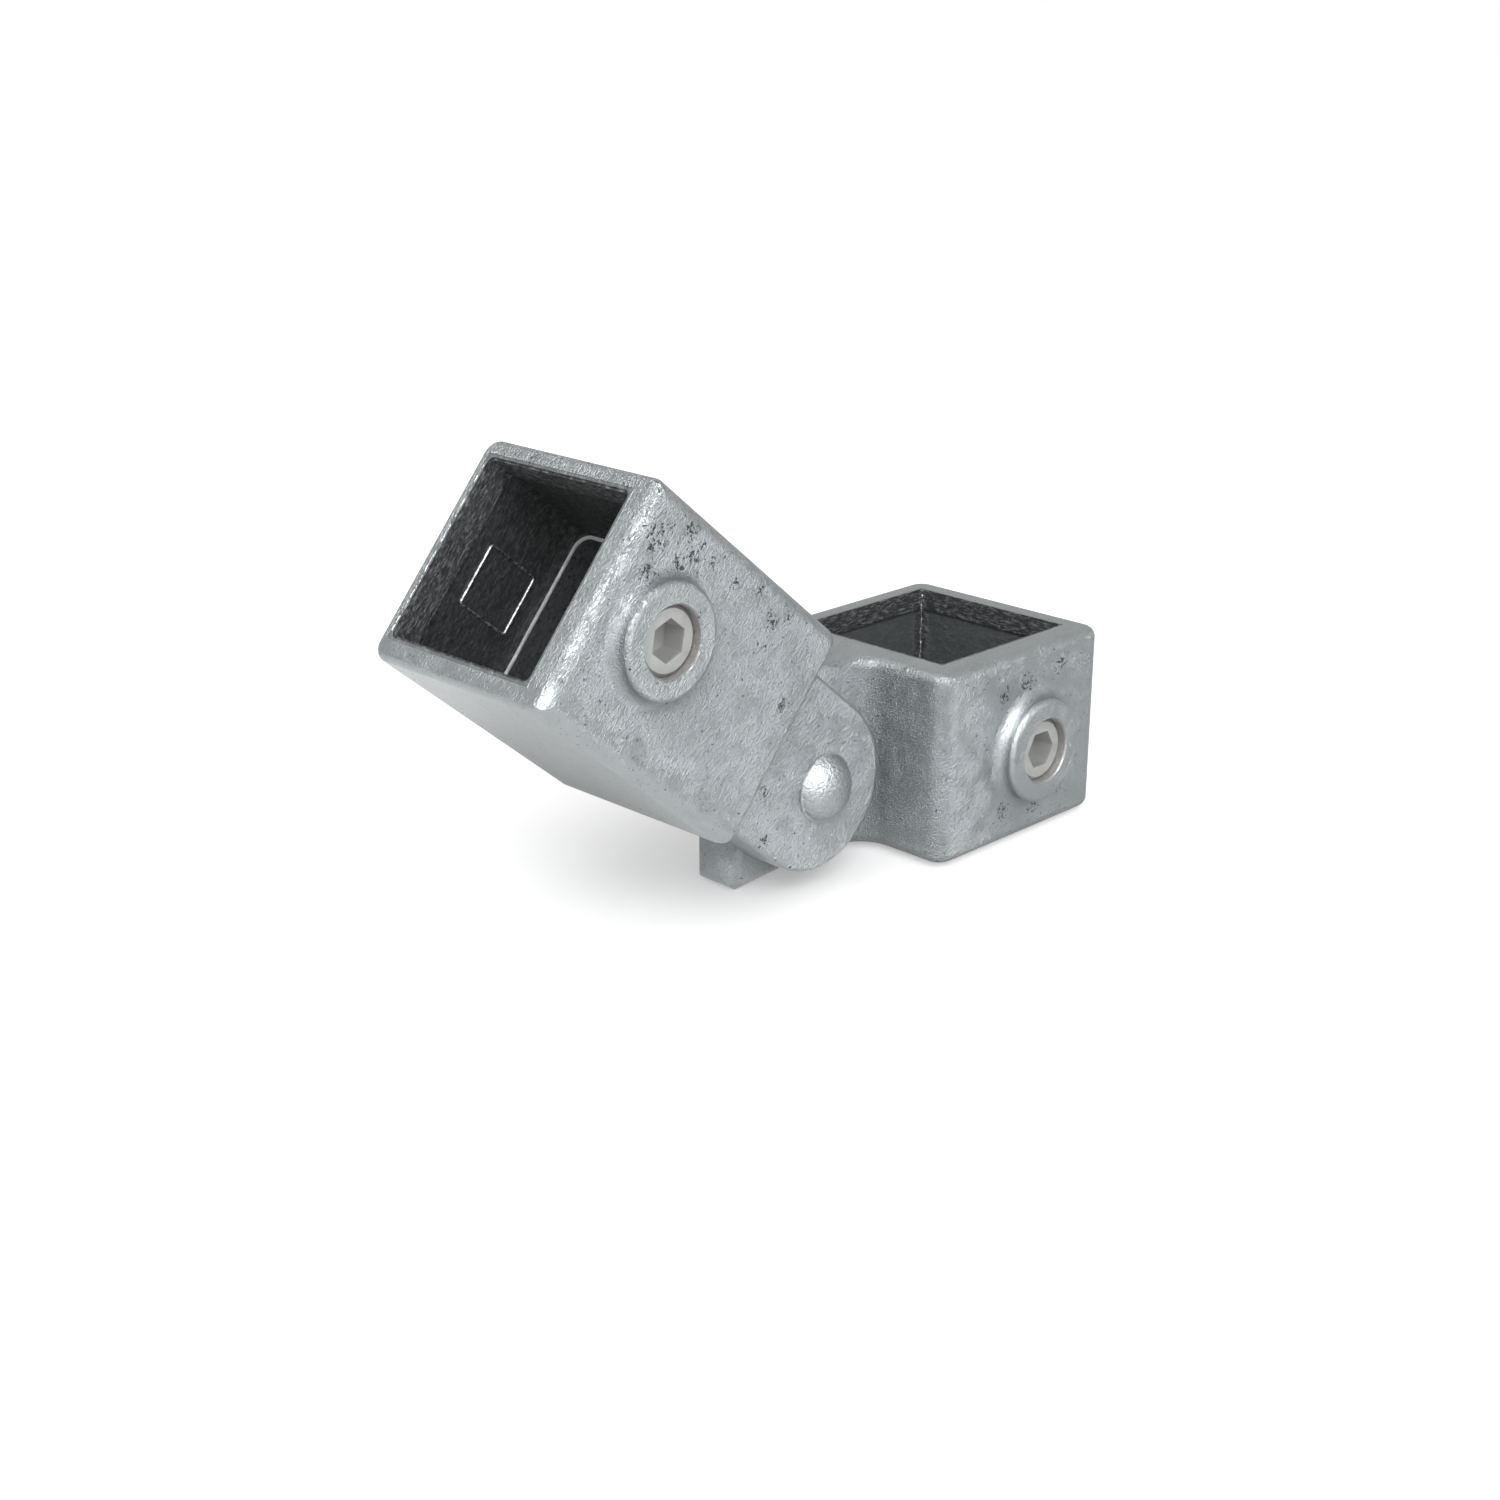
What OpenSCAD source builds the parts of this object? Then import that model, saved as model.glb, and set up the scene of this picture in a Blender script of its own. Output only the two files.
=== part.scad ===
// Swivel joint for 40 mm square tube: an upright sleeve slides along one tube,
// a socket takes the end of the other, and a single rivet hinges the two.
// Origin: the sleeve tube's axis in the sleeve's bottom face. X runs from the
// hinge to the sleeve, Y from the screw side to the back, Z along the sleeve's tube.

/* [Sleeve] */
// Clear width of the square opening through the sleeve
sleeve_clear = 42.5; // [41:0.5:52]
// Height of the sleeve along its tube
sleeve_h = 44.5; // [40:0.5:70]
// Wall on the side away from the hinge
sleeve_far_wall = 6.4; // [4:0.2:9]
// Wall opposite the set screw
sleeve_back_wall = 5.9; // [4:0.2:9]
// Wall that carries the hinge tongue
sleeve_hinge_wall = 7.4; // [5:0.2:10]

/* [Socket] */
// Clear width of the socket that takes the tube's end
socket_clear = 41.5; // [40.5:0.5:50]
// Length of the socket from its mouth to its closed end
socket_len = 65.2; // [58:0.2:90]
// Depth from the mouth to the ledge that stops the tube
stop_depth = 31; // [26:0.5:45]
// Width of the stop ledge
stop_ledge = 0.8; // [0.5:0.1:2]
// Wall on the upper side when the joint is straight
socket_top_wall = 4.7; // [4:0.1:8]
// Wall on the lower side when the joint is straight
socket_bottom_wall = 5.5; // [4:0.1:8]
// Wall opposite the set screw
socket_rear_wall = 3.6; // [3:0.1:8]
// Wall that closes the socket at the hinge
socket_end_wall = 6; // [4:0.5:10]

/* [Castings] */
// Wall that carries the set screw, on both castings
screw_wall = 7.5; // [6:0.2:9]
// Radius of the sleeve's upright corners
sleeve_corner_r = 4.4; // [2:0.2:6]
// Radius of the socket's long corners
socket_corner_r = 3.5; // [2:0.25:5]
// Radius of the sleeve's rim edges and of the tongue's edges
rim_r = 2.4; // [0.8:0.2:2.6]
// Radius of the socket's mouth edges
mouth_r = 1.6; // [0.8:0.2:2.4]
// Radius of the socket's mouth edge on the screw side
mouth_front_r = 3; // [1:0.2:3.6]
// Radius of the edges across the socket's closed end
end_r = 3; // [0.8:0.2:4]
// Length of the fitted band inside each rim of the sleeve
sleeve_band = 5; // [3:0.5:12]
// Length of the fitted band inside the socket's mouth
socket_band = 7; // [4:0.5:12]
// Relief of the bore beyond a band, on each side
band_step = 0.4; // [0.2:0.1:0.8]

/* [Hinge] */
// Free space between the ear's round edge and the sleeve's wall
ear_clear = 7.15; // [6:0.05:25]
// Height of the rivet's axis above the sleeve's bottom face
hinge_z = 22.5; // [22:0.1:30]
// Distance of the rivet's axis below the socket's own axis
hinge_drop = 2.7; // [0:0.1:6]
// Thickness of the sleeve's tongue
tongue_t = 12; // [9:0.5:16]
// Front face of the tongue, measured from the sleeve's tube axis
tongue_face = 4.5; // [0:0.5:8]
// Radius of the tongue's rounded end about the rivet
tongue_r = 17.8; // [14:0.1:18]
// Angle through which the tongue's end stays round, from straight
tongue_sweep = 72; // [55:1:75]
// Radius of the edges round the tongue's end
nose_r = 4.4; // [1:0.2:5.6]
// Radius of the tongue's lower corner, seen from the side
tongue_foot_r = 5; // [3:0.5:8]
// How far the tongue's foot hangs below the sleeve's bottom face
tongue_drop = 1.15; // [0:0.1:2]
// Radius of the fillets between tongue and sleeve
root_fillet_r = 7; // [4:0.2:12]
// Thickness of the socket's ear
ear_t = 11.2; // [8:0.2:14]
// Radius of the ear's round end
ear_r = 19.2; // [15:0.1:21]
// How far the rivet sits towards the tip from the centre of the ear's round end
rivet_fore = 2; // [0:0.1:3]
// How far the rivet sits above the middle of the ear
rivet_up = 0.7; // [0:0.1:2]
// Radius of the ear's front edge
ear_edge_r = 1; // [0.4:0.1:2]
// Step from the socket's front face down to the ear
ear_step = 1; // [0.4:0.1:2]
// Running gap between ear and tongue
hinge_gap = 0.2; // [0.1:0.05:0.5]
// Free space between the tongue's round end and the socket's closed end
end_clear = 2; // [1:0.1:5]
// Angle of the socket above straight, as the joint stands
tilt = 40; // [0:1:75]

/* [Rivet] */
// Diameter of the shank
shank_d = 12; // [8:0.5:13]
// Radial running clearance of the shank in its holes
shank_clearance = 0.05; // [0.02:0.01:0.1]
// Diameter of the domed head
head_d = 15; // [14.5:0.5:20]
// Radius of the fillet round the foot of the domed head
head_fillet_r = 0.8; // [0.3:0.1:1.5]
// Height of the domed head
head_h = 4.8; // [3:0.25:6]
// Diameter of the formed tail head
tail_d = 15.5; // [14.5:0.5:20]
// Height of the formed tail head
tail_h = 2.6; // [1.5:0.1:4]

/* [Set screws] */
// Diameter of each casting's screw hole, at the thread's crests
screw_hole_d = 14.95; // [12:0.05:16]
// Radial clearance between screw and hole
screw_clearance = 0.05; // [0.02:0.01:0.1]
// Length of a set screw
screw_len = 10; // [8:0.1:12]
// Depth of the screw's face below the boss, as it stands
screw_sunk = 1.6; // [0.5:0.1:3]
// Width across the flats of the hexagon socket
hex_af = 8; // [6:0.5:10]
// Depth of the hexagon socket
hex_depth = 5.5; // [3:0.5:7]
// Radius of the round boss
boss_r = 12.2; // [10.5:0.1:14]
// Height of each boss above its wall
boss_h = 4.2; // [2:0.25:6]
// Edge radius of the boss face
boss_edge_r = 1.2; // [0.5:0.1:2]
// Radius of the fillet round the foot of the boss
boss_fillet_r = 2.6; // [1:0.2:3.5]
// Distance of the sleeve's screw from its tube axis, away from the hinge
sleeve_screw_out = 2.5; // [0:0.1:4]
// Distance of the sleeve's screw below the middle of its height
sleeve_screw_low = 1.2; // [0:0.1:3]
// Distance from the socket's mouth to its screw
socket_screw_pos = 18.5; // [17:0.2:22]

/* [Hidden] */
$fn = 96;
eps = 0.01;

// Cutters run this far past the faces that they open
over = 1;

zinc = [0.62, 0.65, 0.65];
bright_zinc = [0.70, 0.73, 0.73];
screw_grey = [0.74, 0.74, 0.72];

// Outer planes of the sleeve about its tube axis, and the rivet's place beside it
sleeve_left = -sleeve_clear / 2 - sleeve_hinge_wall;
hinge_offset = ear_r - rivet_fore + ear_clear - sleeve_left;
sleeve_right = sleeve_clear / 2 + sleeve_far_wall;
sleeve_front = -sleeve_clear / 2 - screw_wall;
sleeve_back = sleeve_clear / 2 + sleeve_back_wall;

// Across the hinge, from the tongue's back to the rivet head's seat
tongue_front = -tongue_face;
tongue_back = tongue_front + tongue_t;
ear_back = tongue_front - hinge_gap;
ear_front = ear_back - ear_t;
socket_front = ear_front - ear_step;
socket_mid = socket_front + screw_wall + socket_clear / 2;
socket_rear = socket_mid + socket_clear / 2 + socket_rear_wall;

// The ear swings past the fillet in front, which its free space limits
root_r = min(root_fillet_r, ear_clear);

// Longer than any profile of the tongue
reach = 2 * (hinge_offset + sleeve_h);

// Socket planes about the rivet, with the joint straight
socket_end = -tongue_r - end_clear;
socket_mouth = socket_end - socket_len;
socket_top = hinge_drop + socket_clear / 2 + socket_top_wall;
socket_bottom = hinge_drop - socket_clear / 2 - socket_bottom_wall;
inner_len = socket_len - socket_end_wall;

// Where the sleeve's screw stands on its front face
sleeve_screw_at = [sleeve_screw_out, sleeve_front, sleeve_h / 2 - sleeve_screw_low];

bore_corner_r = 1.2;
pocket_corner_r = 3.2;

// The tongue's flats lie this far inside its round end, so that the two meet cleanly
flat_inset = 0.02;

// Thickness of a rivet head at the outer edge of its foot fillet
foot_lip = 0.05;
lead_in = 0.5;
screw_r = screw_hole_d / 2 - screw_clearance;
shank_hole_r = shank_d / 2 + shank_clearance;
screw_bevel = 0.9;
cup_bevel = 1.6;
cup_depth = 1;
cup_bite = 0.9;

// Rectangle from a to b whose corners, counted anticlockwise from a, have radii r
module rounded_rect(a, b, r) {
    corners = [
        [a, [1, 1], r[0]],
        [[b[0], a[1]], [-1, 1], r[1]],
        [b, [-1, -1], r[2]],
        [[a[0], b[1]], [1, -1], r[3]]
    ];
    difference() {
        translate(a) square(b - a);
        for (c = corners) translate(c[0]) corner_waste(c[1], c[2]);
    }
}

// What a corner rounding of radius r removes; s points from the corner inwards
module corner_waste(s, r) {
    difference() {
        translate([s[0] > 0 ? -eps : -r, s[1] > 0 ? -eps : -r]) square(r + eps);
        translate(s * r) circle(r);
    }
}

// Stand a profile drawn in X and Z upright, from y0 to y1
module upright(y0, y1) {
    translate([0, y1, 0]) rotate([90, 0, 0]) linear_extrude(y1 - y0) children();
}

// Lay a profile drawn in Y and Z along X, from x0 to x1
module along_x(x0, x1) {
    translate([x0, 0, 0]) rotate([90, 0, 90]) linear_extrude(x1 - x0) children();
}

// Square bore along Z, centred, from z0 to z1
module square_bore(width, z0, z1, r) {
    half = [width / 2, width / 2];
    translate([0, 0, z0]) linear_extrude(z1 - z0) rounded_rect(-half, half, [r, r, r, r]);
}

// Boss on a wall whose face is y = 0: body towards -Y, fillet round its foot
module screw_boss() {
    foot_r = boss_r + boss_fillet_r;
    rotate([90, 0, 0]) rotate_extrude() {
        difference() {
            translate([0, -boss_fillet_r]) square([boss_r, boss_h + boss_fillet_r]);
            translate([boss_r, boss_h]) corner_waste([-1, -1], boss_edge_r);
        }
        difference() {
            translate([0, -boss_fillet_r]) square([foot_r, 2 * boss_fillet_r]);
            translate([foot_r, boss_fillet_r]) circle(boss_fillet_r);
        }
    }
}

// Screw hole through boss and wall, with a broken edge at its mouth
module screw_hole() {
    edge = 0.35;
    depth = screw_wall + boss_h;
    rotate([90, 0, 0]) translate([0, 0, -screw_wall]) {
        translate([0, 0, -over]) cylinder(d = screw_hole_d, h = depth + 2 * over);
        translate([0, 0, depth - edge])
            cylinder(r1 = screw_hole_d / 2, r2 = screw_hole_d / 2 + 2 * edge, h = 2 * edge);
    }
}

// Hexagon set screw along Y, its face at y = 0 and its cup point at y = screw_len
module set_screw() {
    color(screw_grey) rotate([-90, 0, 0]) difference() {
        rotate_extrude() polygon([
            [0, 0],
            [screw_r - screw_bevel, 0],
            [screw_r, screw_bevel],
            [screw_r, screw_len - cup_bevel],
            [screw_r - cup_bevel, screw_len],
            [screw_r - cup_bevel - cup_bite, screw_len],
            [0, screw_len - cup_depth]
        ]);
        translate([0, 0, -over])
            cylinder(d = hex_af / cos(30), h = hex_depth + over, $fn = 6);
    }
}

// Dome of diameter d and height h, rising along -Y from y = 0, with a foot fillet
module dome(d, h, f) {
    sphere_r = (d * d / 4 + h * h) / (2 * h);
    rotate([90, 0, 0]) rotate_extrude() {
        intersection() {
            translate([0, h - sphere_r]) circle(sphere_r);
            square([d / 2, h]);
        }
        difference() {
            square([d / 2 + f / 2, f]);
            translate([d / 2 + f / 2, f + foot_lip]) circle(f);
        }
    }
}

// Upright cylinder of radius r whose edge is rolled by e0 below and e1 above
module rolled_column(r, h, e0, e1) {
    rotate_extrude() difference() {
        square([r, h]);
        translate([r, 0]) corner_waste([-1, 1], e0);
        translate([r, h]) corner_waste([-1, -1], e1);
    }
}

// Disc about the rivet from y0 to y1, its edges rounded by e0 in front and e1 behind
module round_disc(y0, y1, r, e0, e1) {
    translate([0, y0, 0]) rotate([-90, 0, 0]) rolled_column(r, y1 - y0, e0, e1);
}

// All that lies under the ramp, which leaves the tongue's round end at a tangent
module under_ramp() {
    e = nose_r;
    top = tongue_r - flat_inset;
    rotate([0, tongue_sweep - 90, 0]) along_x(-reach, reach)
        rounded_rect([tongue_front, -reach], [tongue_back, top], [e, e, e, e]);
}

// Sector taken from the block where the round end stands
module end_sector() {
    far = 2 * tongue_r;
    upright(tongue_front - over, tongue_back + over) polygon([
        [0, 0],
        far * [-cos(tongue_sweep), sin(tongue_sweep)],
        [-far, far],
        [-far, 0]
    ]);
}

// Foot of the tongue: its edges roll round the two upright corners of its end, and
// its sole falls from below the rivet to the tip
module tongue_foot() {
    e = min(rim_r, nose_r);
    n = nose_r;
    top = sleeve_h - hinge_z;
    end = flat_inset - tongue_r;
    tip = -hinge_z - tongue_drop;
    intersection() {
        union() {
            upright(tongue_front + n, tongue_back - n)
                rounded_rect([end, tip], [n, top], [e, e, e, e]);
            along_x(end + n, n)
                rounded_rect([tongue_front, tip], [tongue_back, top], [e, e, e, e]);
            for (y = [tongue_front + n, tongue_back - n])
                translate([end + n, y, tip]) rolled_column(n, top - tip, e, e);
        }
        upright(tongue_front, tongue_back)
            rounded_rect([end, tip], [n, top], [tongue_foot_r, e, e, e]);
        translate([0, 0, -hinge_z]) rotate([0, -atan(tongue_drop / tongue_r), 0])
            along_x(-reach, reach)
                rounded_rect([tongue_front, 0], [tongue_back, reach], [e, e, e, e]);
    }
}

// Lower body of the tongue, from its foot to the sleeve
module tongue_body() {
    e = rim_r;
    top = sleeve_h - hinge_z;
    tongue_foot();
    along_x(-nose_r, hinge_offset)
        rounded_rect([tongue_front, -hinge_z], [tongue_back, top], [e, e, e, e]);
}

// Tongue about the rivet: square below, round above, then the ramp to the top
module tongue() {
    round_disc(tongue_front, tongue_back, tongue_r, nose_r, nose_r);
    difference() {
        intersection() {
            tongue_body();
            under_ramp();
        }
        end_sector();
    }
}

// Concave fillet between tongue and sleeve, cut by a post that flares at both rims
module root_post() {
    e = rim_r;
    r = root_r;
    rotate_extrude() difference() {
        translate([0, -over]) square([r + e, sleeve_h + 2 * over]);
        difference() {
            translate([r, 0]) square([2 * e, sleeve_h]);
            translate([r, 0]) corner_waste([1, 1], e);
            translate([r, sleeve_h]) corner_waste([1, -1], e);
        }
    }
}

// Root of the tongue, spread by a fillet on each side
module tongue_root() {
    r = root_r;
    difference() {
        translate([sleeve_left - r, tongue_front - r, 0])
            cube([r + sleeve_hinge_wall, tongue_t + 2 * r, sleeve_h]);
        translate([sleeve_left - r, tongue_front - r, 0]) root_post();
        translate([sleeve_left - r, tongue_back + r, 0]) root_post();
    }
}

// Sleeve block: two crossed slabs and four corner columns, all with rolled rims
module sleeve_block() {
    r = sleeve_corner_r;
    e = min(rim_r, sleeve_corner_r);
    upright(sleeve_front + r, sleeve_back - r)
        rounded_rect([sleeve_left, 0], [sleeve_right, sleeve_h], [e, e, e, e]);
    along_x(sleeve_left + r, sleeve_right - r)
        rounded_rect([sleeve_front, 0], [sleeve_back, sleeve_h], [e, e, e, e]);
    for (x = [sleeve_left + r, sleeve_right - r], y = [sleeve_front + r, sleeve_back - r])
        translate([x, y, 0]) rolled_column(r, sleeve_h, e, e);
}

// Casting that slides along the upright tube
module sleeve_casting() {
    relief = sleeve_clear + 2 * band_step;
    color(zinc) difference() {
        union() {
            sleeve_block();
            translate([-hinge_offset, 0, hinge_z]) tongue();
            tongue_root();
            translate(sleeve_screw_at) screw_boss();
        }
        square_bore(sleeve_clear, -over, sleeve_h + over, bore_corner_r);
        square_bore(relief, sleeve_band, sleeve_h - sleeve_band, pocket_corner_r);
        translate(sleeve_screw_at) screw_hole();
        translate([-hinge_offset, 0, hinge_z]) rotate([90, 0, 0])
            cylinder(r = shank_hole_r, h = 2 * (tongue_t + over), center = true);
    }
}

// Put a piece drawn about the rivet, joint straight, where the tilted socket stands
module on_socket() {
    translate([-hinge_offset, 0, hinge_z]) rotate([0, tilt, 0]) children();
}

// Socket seen from the side, its ends rounded
module socket_side(y0, y1) {
    e = mouth_r;
    f = end_r;
    upright(y0, y1)
        rounded_rect([socket_mouth, socket_bottom], [socket_end, socket_top], [e, f, f, e]);
}

// Socket seen from above, its ends rounded
module socket_plan(z0, z1) {
    translate([0, 0, z0]) linear_extrude(z1 - z0) rounded_rect(
        [socket_mouth, socket_front],
        [socket_end, socket_rear],
        [mouth_front_r, ear_step, end_r, mouth_r]
    );
}

// Long corner of the socket, rolled by the mouth's radius and by f at its closed end
module socket_corner(y, z, f) {
    translate([socket_mouth, y, z]) rotate([0, 90, 0])
        rolled_column(socket_corner_r, socket_len, min(mouth_r, socket_corner_r), f);
}

// Socket block about the rivet: both ends roll round the four long corners
module socket_block() {
    r = socket_corner_r;
    intersection() {
        union() {
            socket_side(socket_front + r, socket_rear - r);
            socket_plan(socket_bottom + r, socket_top - r);
            for (z = [socket_bottom + r, socket_top - r]) {
                socket_corner(socket_front + r, z, min(ear_step, r));
                socket_corner(socket_rear - r, z, min(end_r, r));
            }
        }
        socket_side(socket_front, socket_rear);
        socket_plan(socket_bottom, socket_top);
    }
}

// Ear of the socket, its round end a little behind and below the rivet's axis
module ear() {
    e = ear_edge_r;
    root = socket_end - socket_end_wall + rivet_fore;
    translate([-rivet_fore, 0, -rivet_up]) {
        round_disc(ear_front, ear_back, ear_r, e, e / 2);
        along_x(root, 0)
            rounded_rect([ear_front, -ear_r], [ear_back, ear_r], [e, e / 2, e / 2, e]);
    }
}

// Inside of the socket: mouth band, relieved tube length, then a pocket behind the ledge
module socket_bore() {
    lead = socket_clear + 2 * lead_in;
    relief = socket_clear + 2 * band_step;
    pocket = socket_clear - 2 * stop_ledge;
    translate([socket_mouth, socket_mid, hinge_drop]) rotate([0, 90, 0]) {
        square_bore(lead, -over, lead_in, bore_corner_r + lead_in);
        square_bore(socket_clear, -over, stop_depth, bore_corner_r);
        square_bore(relief, socket_band, stop_depth, pocket_corner_r);
        square_bore(pocket, -over, inner_len, pocket_corner_r);
    }
}

// Casting that takes the end of the swinging tube
module socket_casting() {
    color(zinc) on_socket() difference() {
        union() {
            socket_block();
            ear();
            translate([socket_mouth + socket_screw_pos, socket_front, hinge_drop]) screw_boss();
        }
        socket_bore();
        translate([socket_mouth + socket_screw_pos, socket_front, hinge_drop]) screw_hole();
        rotate([90, 0, 0])
            cylinder(r = shank_hole_r, h = 2 * (over - ear_front), center = true);
    }
}

// Rivet through ear and tongue, domed in front and peened behind
module hinge_rivet() {
    color(bright_zinc) translate([-hinge_offset, 0, hinge_z]) {
        translate([0, ear_front - hinge_gap / 2, 0]) dome(head_d, head_h, head_fillet_r);
        translate([0, tongue_back, 0]) mirror([0, 1, 0]) dome(tail_d, tail_h, head_fillet_r);
        rotate([-90, 0, 0]) translate([0, 0, ear_front - hinge_gap])
            cylinder(d = shank_d, h = tongue_back - ear_front + hinge_gap);
    }
}

module sleeve_set_screw() {
    translate(sleeve_screw_at + [0, screw_sunk - boss_h, 0]) set_screw();
}

module socket_set_screw() {
    on_socket()
        translate([socket_mouth + socket_screw_pos, socket_front - boss_h + screw_sunk, hinge_drop])
            set_screw();
}

sleeve_casting();
socket_casting();
hinge_rivet();
sleeve_set_screw();
socket_set_screw();
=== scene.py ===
# Square tube hinge joint: an upright sleeve and a tilted socket, both cast in iron
# and hot-dip galvanised, hinged by one rivet, each with a hexagon set screw.
import math

import bpy
import numpy as np
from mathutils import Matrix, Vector


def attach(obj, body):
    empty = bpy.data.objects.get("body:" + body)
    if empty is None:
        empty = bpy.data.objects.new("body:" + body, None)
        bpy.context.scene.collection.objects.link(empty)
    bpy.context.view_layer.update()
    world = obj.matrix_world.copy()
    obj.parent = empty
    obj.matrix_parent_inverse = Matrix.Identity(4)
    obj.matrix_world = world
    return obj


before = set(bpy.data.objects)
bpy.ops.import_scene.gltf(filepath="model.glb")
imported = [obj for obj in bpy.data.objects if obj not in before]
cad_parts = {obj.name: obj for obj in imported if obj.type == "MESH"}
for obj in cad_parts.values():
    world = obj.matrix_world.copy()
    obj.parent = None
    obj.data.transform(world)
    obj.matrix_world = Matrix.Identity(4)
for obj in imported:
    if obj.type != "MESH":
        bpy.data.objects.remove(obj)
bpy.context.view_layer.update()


# Sleeve casting: the square sleeve with its boss and tongue, one piece of malleable
# iron, shot blasted and hot-dip galvanised. The zinc froze in fine ripples, with pits
# where the sand stuck, and the inside stayed rough from the core and is painted dark, partly as
# painted shade.
MM = 0.001
STRETCHED = 1000  # noise of this size has lumps one unit apart in a stretched place


class Shade:
    """A socket of one material, so that sums of sockets read as plain formulas."""

    def __init__(self, tree, socket=None):
        self.tree = tree
        self.socket = socket

    def node(self, kind, settings, inputs, output=0):
        """Adds a node, sets what it is, feeds its sockets and gives one output."""
        made = self.tree.nodes.new(kind)
        for name, value in settings.items():
            setattr(made, name, value)
        for name, value in inputs.items():
            if isinstance(value, Shade):
                self.tree.links.new(value.socket, made.inputs[name])
            else:
                made.inputs[name].default_value = value
        return Shade(self.tree, made.outputs[output])

    def maths(self, operation, *others):
        """One Math node on this socket and up to two more values."""
        values = dict(enumerate((self,) + others))
        return self.node("ShaderNodeMath", {"operation": operation}, values)

    def vectors(self, operation, *others, output="Vector"):
        """One Vector Math node on this socket and up to two more vectors."""
        values = dict(enumerate((self,) + others))
        return self.node("ShaderNodeVectorMath", {"operation": operation}, values, output)

    def __add__(self, other):
        return self.maths("ADD", other)

    def __sub__(self, other):
        return self.maths("SUBTRACT", other)

    def __mul__(self, other):
        return self.maths("MULTIPLY", other)

    def __rsub__(self, other):
        return self.maths("MULTIPLY", -1.0).maths("ADD", other)

    __radd__ = __add__
    __rmul__ = __mul__

    def step(self, low, high):
        """Smooth rise from 0 where the value is low to 1 where it is high."""
        flip = low > high
        limits = {0: self, 1: min(low, high), 2: max(low, high)}
        setting = {"interpolation_type": "SMOOTHSTEP"}
        rise = self.node("ShaderNodeMapRange", setting, limits)
        return 1 - rise if flip else rise

    def stretch(self, sizes, turn=(0, 0, 0)):
        """The same place with each axis measured in its own size, after a turn."""
        turned = self.node(
            "ShaderNodeMapping", {"vector_type": "TEXTURE"}, {"Vector": self, "Rotation": turn}
        )
        return turned.vectors("MULTIPLY", tuple(1 / (size * MM) for size in sizes))

    def noise(self, size, detail, rough, twist=0.0):
        """Soft noise whose lumps are about size millimetres apart, with detail finer
        layers, each rough times as strong as the last, and bent by twist."""
        inputs = {
            "Vector": self, "Scale": 1 / (size * MM), "Detail": detail,
            "Roughness": rough, "Distortion": twist,
        }
        return self.node("ShaderNodeTexNoise", {}, inputs)

    def axis(self, name):
        """One coordinate of this place, in millimetres."""
        return self.node("ShaderNodeSeparateXYZ", {}, {0: self}, name) * (1 / MM)

    def away(self, point):
        """Distance of this place from a point, in metres."""
        return self.vectors("DISTANCE", point, output="Value")

    def blend(self, first, second):
        """Colour first where this mask is 0 and second where it is 1, through the
        Mix node's colour sockets, which are its inputs 6 and 7 and its output 2."""
        inputs = {0: self, 6: first, 7: second}
        return self.node("ShaderNodeMix", {"data_type": "RGBA"}, inputs, 2)

    def bump(self):
        """The surface's normal where this is its height in millimetres."""
        inputs = {"Strength": 1.0, "Distance": MM, "Height": self}
        return self.node("ShaderNodeBump", {}, inputs)


def new_finish(name):
    """A bare material: its tree, its surface shader and the object's own place."""
    made = bpy.data.materials.new(name)
    made.use_nodes = True
    tree = made.node_tree
    place = Shade(tree).node("ShaderNodeTexCoord", {}, {}, "Object")
    return made, tree, tree.nodes["Principled BSDF"], place


def feed(tree, surface, **sockets):
    """Links each shade to the surface socket that it names, or sets a plain value."""
    for name, value in sockets.items():
        target = surface.inputs[name.replace("_", " ")]
        if isinstance(value, Shade):
            tree.links.new(value.socket, target)
        else:
            target.default_value = value


def coat(node, finish):
    """Gives a solid of the frame its finish in place of the plain one."""
    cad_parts[node].data.materials.clear()
    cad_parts[node].data.materials.append(finish)


ZINC = (0.345, 0.372, 0.381, 1)
ZINC_PALE = (0.50, 0.54, 0.55, 1)
ZINC_DULL = (0.265, 0.287, 0.295, 1)
# Near white, painted on the tube stop's face as a painted highlight.
STOP_PAINTED_HIGHLIGHT = (0.88, 0.91, 0.91, 1)
ZINC_ROUGH = 0.27
ZINC_METAL = 0.85
# Dark of the sand pits, and of lines of painted shade.
SAND_PIT_AND_PAINTED_SHADE = (0.035, 0.037, 0.04, 1)
# Inside colours: the core skin painted dark, partly as painted shade, and a lighter painted light
# for the pocket behind the stop.
CORE_SKIN_AND_PAINTED_SHADE = (0.050, 0.053, 0.055, 1)
POCKET_PAINTED_LIGHT = (0.13, 0.137, 0.14, 1)
CORE_FLECK = (0.26, 0.275, 0.28, 1)
TAPPED = (0.36, 0.347, 0.335, 1)
DRAIN = (0, -0.75, 0)
STREAK_SIZES = (1.4, 0.55, 0.33)
FLECK_SIZES = (0.7, 0.32, 0.2)
SWELL_HEIGHT = 0.12
STREAK_HEIGHT = 0.15
FLECK_HEIGHT = 0.10
FROST_HEIGHT = 0.03
PIT_DEPTH = 0.15
CORE_GRAIN = 0.2
CORE_SCRAPE = 0.15
BAND_SCRAPE = 0.25
CORE_LUMP = 0.6


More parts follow.
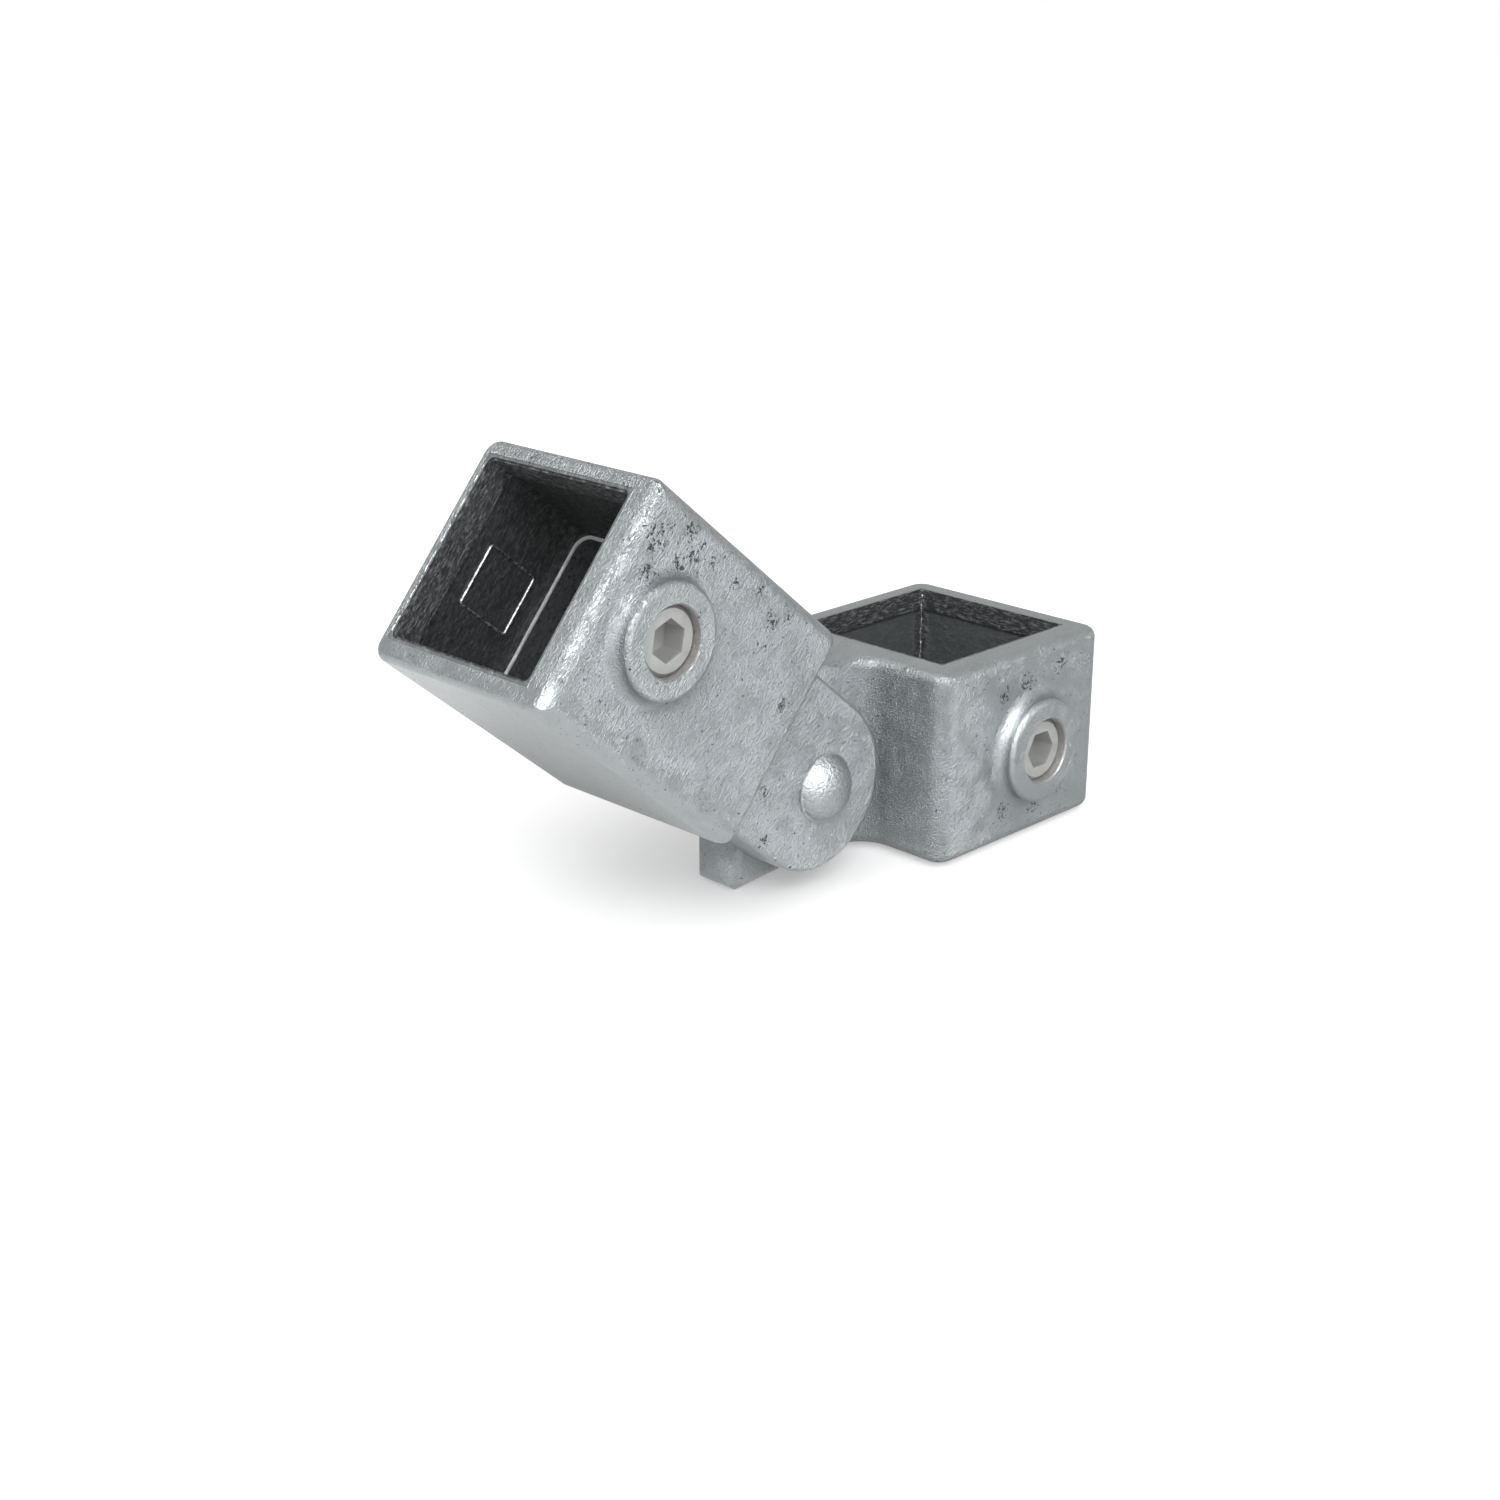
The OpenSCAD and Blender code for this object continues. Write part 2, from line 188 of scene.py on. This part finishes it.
def zinc_skin(name, own_place, where, scrape_sizes):
    """Galvanised cast iron. Its height, in millimetres, is the sum of a slow swell,
    streaks drawn out by the draining zinc where it froze in patches, fine frost and
    pits in clusters. Where holds functions of the place that say how far it is core
    (the rough inside, painted dark, partly as painted shade), band (the fitted rims of
    the core, scraped round), the pocket behind the tube stop (painted lighter as painted light),
    the stop's face (painted near white as a painted highlight), hole (tapped bare), pits, a dark
    line of painted shade, and relief (how high the streaks stand, and so how dull)."""
    made, tree, surface, world = new_finish(name)
    place = own_place(world)
    found = {kind: test(place) for kind, test in where.items()}
    core, hole = found["core"], found["hole"] * (1 - found["core"])

    swell = world.noise(9, 1.0, 0.5)
    cloud = world.noise(7, 3.0, 0.6)
    patchy = world.noise(5, 2.0, 0.6).step(0.38, 0.62) * 0.4 + 0.6
    streak = world.stretch(STREAK_SIZES, DRAIN).noise(STRETCHED, 3.0, 0.65, 0.25)
    fleck = world.stretch(FLECK_SIZES, DRAIN).noise(STRETCHED, 2.0, 0.6, 0.2)
    frost = world.noise(0.3, 2.0, 0.6)
    crowd = (found["pits"] * 1.2 + world.noise(2.4, 3.0, 0.7) * 1.6 - 1.15).step(0.1, 0.9)
    pit = (world.noise(0.75, 3.0, 0.7, 0.5) + crowd * 0.14).step(0.645, 0.685)
    scrape = place.stretch(scrape_sizes).noise(STRETCHED, 4.0, 0.7, 0.3)
    grain = world.noise(1.2, 4.0, 0.75, 0.4)
    lump = world.noise(2.6, 3.0, 0.6)

    dull = found["relief"].step(0.4, 1.1) * 0.5 + cloud.step(0.65, 0.35) * 0.2
    outer = dull.blend(ZINC, ZINC_DULL)
    outer = (fleck.step(0.58, 0.72) * 0.4).blend(outer, ZINC_PALE)
    outer = (pit * 0.85).blend(outer, SAND_PIT_AND_PAINTED_SHADE)
    scuffs = scrape.step(0.45, 0.66) * (found["band"] * 0.6 + 0.4)
    # Painted light: the pocket behind the tube stop is painted lighter.
    inner = found["pocket_painted_light"].blend(CORE_SKIN_AND_PAINTED_SHADE, POCKET_PAINTED_LIGHT)
    inner = scuffs.blend(inner, CORE_FLECK)
    inner = (grain.step(0.54, 0.62) * 0.85).blend(inner, SAND_PIT_AND_PAINTED_SHADE)
    # Painted highlight: the tube stop's face is painted near white.
    inner = found["ledge"].blend(inner, STOP_PAINTED_HIGHLIGHT)
    tone = hole.blend(core.blend(outer, inner), TAPPED)
    # Painted shade: a dark line along the step's foot and the band's lower edge.
    tone = (found["painted_crease_shade"] * 0.7).blend(tone, SAND_PIT_AND_PAINTED_SHADE)

    rough = ZINC_ROUGH + cloud * 0.06 + frost * 0.06 + pit * 0.3 + core * 0.2 + hole * 0.25
    metal = ZINC_METAL - core * 0.45 - hole * 0.5
    ripple = streak.step(0.42, 0.74) * STREAK_HEIGHT + fleck.step(0.42, 0.70) * FLECK_HEIGHT
    skin = swell * SWELL_HEIGHT + ripple * patchy * found["relief"]
    skin = skin + frost * FROST_HEIGHT - pit * PIT_DEPTH
    cored = grain * CORE_GRAIN + scrape * (found["band"] * BAND_SCRAPE + CORE_SCRAPE)
    cored = cored + lump * CORE_LUMP
    normal = (skin * (1 - core) + cored * core).bump()
    feed(tree, surface, Base_Color=tone, Metallic=metal, Roughness=rough, Normal=normal)
    return made


# A pair that step takes, here and below, says where a mask is 0 and where it is 1.
HOLE_EDGE = (7.62 * MM, 7.54 * MM)
HOLE_FRONT = (-5, -7)


def screw_hole(place, x, z):
    """1 on the wall of the screw's hole, on the front side only, whose axis runs along
    Y through x and z."""
    across = place.vectors("MULTIPLY_ADD", (1, 0, 1), (-x * MM, 0, -z * MM))
    out = across.vectors("LENGTH", output="Value")
    return out.step(*HOLE_EDGE) * place.axis("Y").step(*HOLE_FRONT)


SLEEVE_HOLE = (2.5, 21.05)
BORE_EDGE = (22.0, 21.4)
BAND_EDGE = (39.3, 39.7)
BAND_SHADE_LINE = 39.2
RIPPLED = (-8, -24)
SLEEVE_SCRAPE = (2.4, 2.4, 0.5)
SLEEVE_SPOTS = [
    (0, -28.6, 37, 5), (-8, -28.6, 36, 4), (-7, -28.6, 8, 4), (4, -28.6, 6, 4), (14, -28.6, 9, 4),
    (12, -28.6, 39, 4), (-13, -20, 40, 3),
]


def sleeve_core(place):
    """1 inside the square bore, by the larger of the two distances from its axis."""
    wide = place.axis("X").maths("ABSOLUTE").maths("MAXIMUM", place.axis("Y").maths("ABSOLUTE"))
    return wide.step(*BORE_EDGE)


def near_spots(place, spots):
    """The share of a spot (x, y, z and radius in millimetres) that a place has: 1 at
    its middle, falling to 0 at one and a quarter times its radius."""
    found = 0.0
    for x, y, z, radius in spots:
        here = place.away((x * MM, y * MM, z * MM)).step(radius * MM * 1.25, 0)
        found = here.maths("MAXIMUM", found)
    return found


def sleeve_pits(place):
    """Pits crowd on the boss's upper flank and in a few places low on the front."""
    return near_spots(place, SLEEVE_SPOTS)


def sleeve_band(place):
    """1 on the upper fitted band of the bore."""
    return place.axis("Z").step(*BAND_EDGE)


def sleeve_band_painted_shade(place):
    """Painted shade: a dark line painted along the lower edge of the upper band."""
    line = (place.axis("Z") - BAND_SHADE_LINE).maths("ABSOLUTE").step(0.5, 0.2)
    return line * sleeve_core(place)


def sleeve_relief(place):
    """The zinc froze rougher towards the tongue."""
    return place.axis("X").step(*RIPPLED) * 0.7 + 0.5


def nowhere(place):
    """0 all over, for what one of the castings doesn't have."""
    return place.axis("X") * 0.0


sleeve_skin = zinc_skin(
    "galvanised_sleeve", lambda world: world,
    {
        "core": sleeve_core, "band": sleeve_band, "pocket_painted_light": nowhere, "ledge": nowhere,
        "hole": lambda place: screw_hole(place, *SLEEVE_HOLE), "pits": sleeve_pits,
        "painted_crease_shade": sleeve_band_painted_shade, "relief": sleeve_relief,
    },
    SLEEVE_SCRAPE,
)
coat("sleeve_casting", sleeve_skin)


def add_piece(name, points, faces, material, body):
    """Puts points in millimetres and their faces into a mesh that rides on a body."""
    mesh = bpy.data.meshes.new(name)
    mesh.from_pydata((np.asarray(points) * MM).tolist(), [], np.asarray(faces).tolist())
    mesh.polygons.foreach_set("use_smooth", np.ones(len(mesh.polygons), dtype=bool))
    mesh.materials.append(material)
    mesh.update()
    piece = bpy.data.objects.new(name, mesh)
    bpy.context.scene.collection.objects.link(piece)
    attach(piece, body)


def grid_faces(rows, columns, closed_rows=False):
    """Quads of a grid whose columns close into a ring, and its rows too if asked."""
    row = np.arange(rows if closed_rows else rows - 1)[:, None]
    column = np.arange(columns)[None, :]
    here = row * columns
    there = (row + 1) % rows * columns
    after = (column + 1) % columns
    quads = np.stack([here + column, here + after, there + after, there + column], -1)
    return quads.reshape(-1, 4)


SEAM_LEVELS = 160
SEAM_SIDES = 12
SEAM_SUNK = 0.15
SEAM_END = 0.02


def seam_of_core(corner, low, high):
    """Fin left along a corner where the core's halves met, or where the core met the
    mould: a thin round ridge, whose width and drift are sums of sines of the height,
    so that it swells and breaks as it rises."""
    z = np.linspace(low, high, SEAM_LEVELS)
    angle = np.linspace(0, 2 * np.pi, SEAM_SIDES, endpoint=False)
    width = 0.20 + 0.05 * np.sin(z * 2.1) + 0.05 * np.sin(z * 5.3 + 1) + 0.04 * np.sin(z * 9.7)
    width[[0, -1]] = SEAM_END
    drift = 0.05 * np.sin(z * 0.9) + 0.03 * np.sin(z * 3.1)
    x = corner[0] - SEAM_SUNK + drift[:, None] + width[:, None] * np.cos(angle)
    y = corner[1] - SEAM_SUNK - drift[:, None] + width[:, None] * np.sin(angle)
    points = np.stack([x, y, np.broadcast_to(z[:, None], x.shape)], -1)
    return points.reshape(-1, 3), grid_faces(SEAM_LEVELS, SEAM_SIDES)


SEAM_DARK = (0.16, 0.17, 0.17, 1)
SEAM_BRIGHT = (0.62, 0.65, 0.65, 1)
SEAM_HEIGHT = 0.15

seam_metal, tree, surface, world = new_finish("bare_zinc_edge")
streak = world.noise(0.9, 3.0, 0.6)
tone = streak.step(0.35, 0.65).blend(SEAM_DARK, SEAM_BRIGHT)
normal = (streak * SEAM_HEIGHT).bump()
feed(tree, surface, Base_Color=tone, Metallic=0.9, Roughness=0.35 + streak * 0.2, Normal=normal)
BORE_CORNER = (20.9, 20.9)
BORE_SPAN = (1.5, 43.3)
points, faces = seam_of_core(BORE_CORNER, *BORE_SPAN)
add_piece("sleeve_core_seam", points, faces, seam_metal, "sleeve")


# Socket casting: the square socket with its boss and the ear, cast and galvanised the
# same way. It stands tilted, so its patterns are laid out along its own tube axis.
RIVET_X = -53
RIVET_Z = 22.5
TILT = math.radians(40)
SOCKET_MID = 11.35
SOCKET_DROP = 2.7
MOUTH = -85.0
LEDGE = MOUTH + 31
SOCKET_HOLE = (MOUTH + 18.5, SOCKET_DROP)
SOCKET_BORE_EDGE = (22.0, 21.8)
SOCKET_BAND_EDGE = (MOUTH + 7.6, MOUTH + 6.6)
EAR_STEP_X = -19.8
EAR_STEP_Y = (-15.4, -15.8)
LIP_CORNER = 16.95
LIP_EDGE = (3.85, 3.7)
LOWER_EDGE = (-19.5, -14)
EAR_FROM = (-22, -18)
SOCKET_SCRAPE = (0.5, 2.0, 2.0)
SOCKET_SPOTS = [
    (-79.5, -16.9, 17.5, 6.5), (-77.8, -16.9, 21.5, 2.5), (-72, -16.9, 23.5, 4.5),
    (-68.5, -16.9, 20.5, 4.5), (-77.5, -16.9, 11.0, 5.0), (-71, -16.9, 17, 4.0),
    (-63, -16.9, 21.5, 3.0), (-55.2, -16.9, 21.5, 3.0), (-47, -16.9, 24, 3.5),
    (-41, -16.9, 20, 4.5), (-36, -16.9, 22.8, 3.0), (-38.5, -16.9, 15.4, 2.2),
    (-25.5, -16.9, 7.8, 3.6), (-17, -15.9, -9, 3.5), (-10, -15.9, -18, 3.5), (-64, -21, 10, 2.8),
    (-84, -8, 25, 3.0), (-84.5, 20, 25, 3.5),
]


def socket_place(world):
    """The place about the rivet with the socket laid straight: X runs up its tube."""
    rivet = (RIVET_X * MM, 0, RIVET_Z * MM)
    inputs = {"Vector": world, "Location": rivet, "Rotation": (0, TILT, 0)}
    return world.node("ShaderNodeMapping", {"vector_type": "TEXTURE"}, inputs)


def socket_sides(place):
    """Distances in millimetres from the socket's axis, sideways and upwards."""
    side = (place.axis("Y") - SOCKET_MID).maths("ABSOLUTE")
    up = (place.axis("Z") - SOCKET_DROP).maths("ABSOLUTE")
    return side, up


def socket_core(place):
    """1 within the square of the socket's bore, from just behind its mouth. It has no
    end at the closed end, so the ear's lap face and half of its rim are dark too."""
    side, up = socket_sides(place)
    behind_mouth = place.axis("X").step(MOUTH - 0.1, MOUTH + 0.1)
    return side.maths("MAXIMUM", up).step(*SOCKET_BORE_EDGE) * behind_mouth


def socket_band(place):
    """1 on the fitted band behind the mouth."""
    return place.axis("X").step(*SOCKET_BAND_EDGE)


def socket_pocket_painted_light(place):
    """1 in the pocket behind the stop, which is painted lighter as painted light."""
    return place.axis("X").step(LEDGE + 0.2, LEDGE + 0.6)


def socket_step_painted_shade(place):
    """Painted shade: a dark line painted along the sharp foot of the step down from the socket's
    front to the ear.
    """
    line = (place.axis("X") - EAR_STEP_X).maths("ABSOLUTE").step(0.26, 0.08)
    return line * place.axis("Y").step(*EAR_STEP_Y)


def socket_pits(place):
    """Pits crowd beside the mouth and the boss, and run down the upper edge."""
    return near_spots(place, SOCKET_SPOTS)


def socket_ledges(place):
    """Painted highlight on the face of the tube stop: a thin slice across the bore there, within
    a square with round corners, painted near white. Past the centres of those corners, the
    distance is the root of the sum of the squares of both sides."""
    side, up = ((out - LIP_CORNER).maths("MAXIMUM", 0.0) for out in socket_sides(place))
    lip = (side * side + up * up).maths("SQRT").step(*LIP_EDGE)
    return (place.axis("X") - LEDGE).maths("ABSOLUTE").step(0.40, 0.25) * lip


def socket_relief(place):
    """The zinc ran smooth along the lower edge of the socket, but not over the ear."""
    above = place.axis("Z").step(*LOWER_EDGE)
    return above.maths("MAXIMUM", place.axis("X").step(*EAR_FROM)) * 0.5 + 0.5


socket_skin = zinc_skin(
    "galvanised_socket", socket_place,
    {
        "core": socket_core, "band": socket_band, "pocket_painted_light": socket_pocket_painted_light, "ledge": socket_ledges,
        "hole": lambda place: screw_hole(place, *SOCKET_HOLE), "pits": socket_pits,
        "painted_crease_shade": socket_step_painted_shade, "relief": socket_relief,
    },
    SOCKET_SCRAPE,
)
coat("socket_casting", socket_skin)


def from_socket(points):
    """Turns points laid out with the socket straight to where the tilted socket is."""
    x, y, z = np.asarray(points).T
    cos, sin = math.cos(TILT), math.sin(TILT)
    return np.stack([x * cos + z * sin + RIVET_X, y, z * cos - x * sin + RIVET_Z], -1)


MARK_X = (MOUTH + 11.5, MOUTH + 26)
MARK_Z = (-4.6, 9.4)
MARK_WALL = SOCKET_MID + 21.15
MARK_CORNER = 0.8
MARK_HEIGHT = 0.45
MARK_WIDTH = 0.6
MARK_SUNK = 0.05
MARK_TURNS = 7
MARK_SIDES = 12


def mark_frame():
    """Plain raised frame: an ellipse, half of it sunk in the wall, carried round a
    rectangle with round corners."""
    quarter = np.linspace(0, np.pi / 2, MARK_TURNS)
    turns = np.repeat(np.arange(4), MARK_TURNS) * np.pi / 2 + np.tile(quarter, 4)
    left, right = MARK_X[0] + MARK_CORNER, MARK_X[1] - MARK_CORNER
    low, high = MARK_Z[0] + MARK_CORNER, MARK_Z[1] - MARK_CORNER
    centre_x = np.repeat([right, left, left, right], MARK_TURNS)
    centre_z = np.repeat([high, high, low, low], MARK_TURNS)
    across = np.linspace(0, 2 * np.pi, MARK_SIDES, endpoint=False)
    out = MARK_CORNER + MARK_WIDTH / 2 * np.cos(across)
    x = centre_x[:, None] + out * np.cos(turns)[:, None]
    z = centre_z[:, None] + out * np.sin(turns)[:, None]
    y = np.broadcast_to(MARK_WALL + MARK_SUNK - MARK_HEIGHT * np.sin(across), x.shape)
    points = np.stack([x, y, z], -1).reshape(-1, 3)
    return points, grid_faces(len(turns), MARK_SIDES, True)


points, faces = mark_frame()
points = from_socket(points)
add_piece("socket_mark_frame", points, faces, seam_metal, "socket")
MOUTH_CORNER = (MOUTH + 0.27, SOCKET_MID + 21.9)
MOUTH_SPAN = (-17.5, 22.8)
points, faces = seam_of_core(MOUTH_CORNER, *MOUTH_SPAN)
points = from_socket(points)
add_piece("socket_mouth_burr", points, faces, seam_metal, "socket")


# Hinge rivet: mild steel, closed hot through ear and tongue with a domed head, and
# galvanised with the castings, so its skin is the same zinc, worn smoother.
RIVET_DULL = (0.33, 0.36, 0.37, 1)
RIVET_PALE = (0.40, 0.43, 0.44, 1)
DIMPLE_HEIGHT = 0.34
RIVET_FROST = 0.12

rivet_skin, tree, surface, world = new_finish("galvanised_rivet")
dimple = world.noise(0.75, 3.0, 0.6)
frost = world.noise(0.4, 3.0, 0.6)
tone = dimple.step(0.3, 0.7).blend(RIVET_DULL, RIVET_PALE)
normal = (dimple * DIMPLE_HEIGHT + frost * RIVET_FROST).bump()
feed(tree, surface, Base_Color=tone, Metallic=0.9, Roughness=0.34 + frost * 0.1, Normal=normal)
coat("hinge_rivet", rivet_skin)


# Set screws: turned steel with a hexagon socket and a pale matte plating, the same
# screw in both bosses, screwed in until its face lies below the boss.
PLATING_DULL = (0.48, 0.49, 0.475, 1)
PLATING_PALE = (0.57, 0.58, 0.565, 1)
PLATING_WELL_PAINTED_SHADE = (0.47, 0.475, 0.465, 1)
SLEEVE_SCREW_FACE = -31.35
SOCKET_SCREW_FACE = -19.5
BETWEEN_SCREWS = (-35, -34)
GRIT_HEIGHT = 0.02

screw_skin, tree, surface, world = new_finish("pale_plating")
haze = world.noise(3.0, 3.0, 0.6)
grit = world.noise(0.35, 2.0, 0.6)
tone = haze.step(0.3, 0.75).blend(PLATING_DULL, PLATING_PALE)
# Painted shade: past the screw's face, down in the hexagon, the plating is painted a shade
# darker.
apart = SLEEVE_SCREW_FACE - SOCKET_SCREW_FACE
screw_face = world.axis("X").step(*BETWEEN_SCREWS) * apart + SOCKET_SCREW_FACE
sunk = world.axis("Y") - screw_face
tone = sunk.step(0.1, 1.0).blend(tone, PLATING_WELL_PAINTED_SHADE)
normal = (grit * GRIT_HEIGHT).bump()
feed(tree, surface, Base_Color=tone, Metallic=0.55, Roughness=0.5 + haze * 0.1, Normal=normal)
coat("sleeve_set_screw", screw_skin)
coat("socket_set_screw", screw_skin)


# Studio: a pale floor under the joint and a white surround. A broad sun from the
# front left casts the shadow, and a softbox in its place is seen by reflections only.
# For them too, the floor glows with a patch of painted light on the left, and has a painted
# shadow behind the joint.
FLOOR_HALF = 3.0
FLOOR = -0.93 * MM
FLOOR_PAINT = (0.93, 0.93, 0.93, 1)
FLOOR_LIFT = 0.25
OUTER_LIFT = 0.23
PAINTED_SHADOW_MIDDLE = (-0.060, 0.014, 0)
PAINTED_SHADOW_REACH = (0.012, 0.062)
POOL_SIDE = (0, -90)
POOL_LEVEL = 0.62
POOL_OUTSIDE = 0.05
PAINTED_SHADOW_BEHIND = (-0.064, 0.052, 0)
PAINTED_SHADOW_EDGE = (0.025, 0.058)


def ray(tree, kind):
    """1 for rays of this kind and 0 for all others."""
    return Shade(tree).node("ShaderNodeLightPath", {}, {}, kind)


floor_mesh = bpy.data.meshes.new("floor")
floor_mesh.from_pydata(
    [
        (-FLOOR_HALF, -FLOOR_HALF, FLOOR), (FLOOR_HALF, -FLOOR_HALF, FLOOR),
        (FLOOR_HALF, FLOOR_HALF, FLOOR), (-FLOOR_HALF, FLOOR_HALF, FLOOR),
    ],
    [], [(0, 1, 2, 3)],
)
floor = bpy.data.objects.new("floor", floor_mesh)
bpy.context.scene.collection.objects.link(floor)
floor_paint, tree, surface, place = new_finish("floor_paint")
tree.nodes.remove(surface)
painted_pool = place.axis("X").step(*POOL_SIDE) * place.away(PAINTED_SHADOW_BEHIND).step(*PAINTED_SHADOW_EDGE)
painted_pool = painted_pool * POOL_LEVEL + POOL_OUTSIDE
# The camera sees the floor lifted towards white, and less so near the joint, which deepens its
# shadow there as painted shadow.
lift = place.away(PAINTED_SHADOW_MIDDLE).step(*PAINTED_SHADOW_REACH) * OUTER_LIFT + FLOOR_LIFT
lift = ray(tree, "Is Camera Ray") * lift + ray(tree, "Is Glossy Ray") * painted_pool
glow = place.node("ShaderNodeEmission", {}, {"Strength": lift})
paint = place.node("ShaderNodeBsdfDiffuse", {}, {"Color": FLOOR_PAINT})
both = place.node("ShaderNodeAddShader", {}, {0: paint, 1: glow})
feed(tree, tree.nodes["Material Output"], Surface=both)
floor_mesh.materials.append(floor_paint)

KEY = (-0.492, -0.587, 0.643)
KEY_STRENGTH = 0.95
KEY_WIDTH = math.radians(36)
SOFTBOX_EDGE = (math.cos(math.radians(42)), math.cos(math.radians(23)))
SOFTBOX_FOOT = (300, 500)  # thousandths of the way up from the horizon
SOFTBOX_LEVEL = 6.4
ROOM_LIGHT = 0.64
ROOM_IN_ZINC = 0.72

surround = bpy.data.worlds.new("surround")
bpy.context.scene.world = surround
surround.use_nodes = True
tree = surround.node_tree
toward = Shade(tree).node("ShaderNodeTexCoord", {}, {}, "Generated")
softbox = toward.vectors("DOT_PRODUCT", KEY, output="Value").step(*SOFTBOX_EDGE)
softbox = softbox * toward.axis("Z").step(*SOFTBOX_FOOT)
shine = softbox * ray(tree, "Is Glossy Ray") * SOFTBOX_LEVEL
mirrored = ray(tree, "Is Glossy Ray").maths("MAXIMUM", ray(tree, "Is Transmission Ray"))
room = mirrored * (ROOM_IN_ZINC - ROOM_LIGHT) + ROOM_LIGHT
level = ray(tree, "Is Camera Ray").maths("MAXIMUM", room) + shine
feed(tree, tree.nodes["Background"], Color=(1, 1, 1, 1), Strength=level)

key = bpy.data.lights.new("above_camera", "SUN")
key.energy = KEY_STRENGTH
key.angle = KEY_WIDTH
lamp = bpy.data.objects.new("above_camera", key)
lamp.rotation_euler = (-Vector(KEY)).to_track_quat("-Z", "Y").to_euler()
bpy.context.scene.collection.objects.link(lamp)

eye = bpy.data.cameras.new("camera")
eye.lens = 54.222
eye.sensor_width = 36
eye.clip_start = 0.01
camera = bpy.data.objects.new("camera", eye)
camera.location = (-0.388121, -0.324641, 0.197824)
camera.rotation_euler = (1.219972, -0.002325, -0.789912)
bpy.context.scene.collection.objects.link(camera)
bpy.context.scene.camera = camera
bpy.context.scene.view_settings.view_transform = "Standard"
